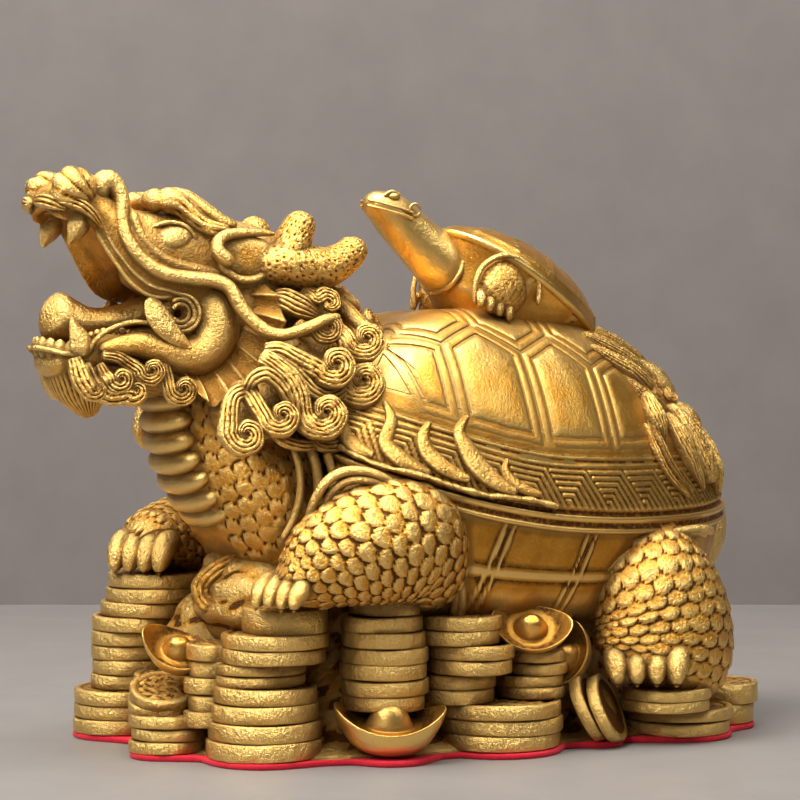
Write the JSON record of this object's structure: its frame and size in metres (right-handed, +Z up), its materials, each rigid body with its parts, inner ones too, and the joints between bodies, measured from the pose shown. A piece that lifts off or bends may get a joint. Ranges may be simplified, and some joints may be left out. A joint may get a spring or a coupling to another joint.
{
  "type": "dragon turtle figure",
  "caption": "Cast figure of a horned, dragon-headed turtle with a small turtle on its shell, standing on heaped coins and boat-shaped ingots over a thin felt pad.",
  "frame": {"origin": "on the underside of the felt pad, on the turtle's middle plane and in the middle of the figure's length", "axes": "+X to the turtle's left, -Y the way the turtle faces, +Z up"},
  "size_m": [0.102, 0.1954, 0.1415],
  "materials": {
    "cast_brass": "satin cast brass with fine sandy grain and dark brown patina in the hollows",
    "red_felt": "dense red felt"
  },
  "bodies": {
    "root": {"figure": "cast_brass", "felt_pad": "red_felt"}
  },
  "joints": []
}
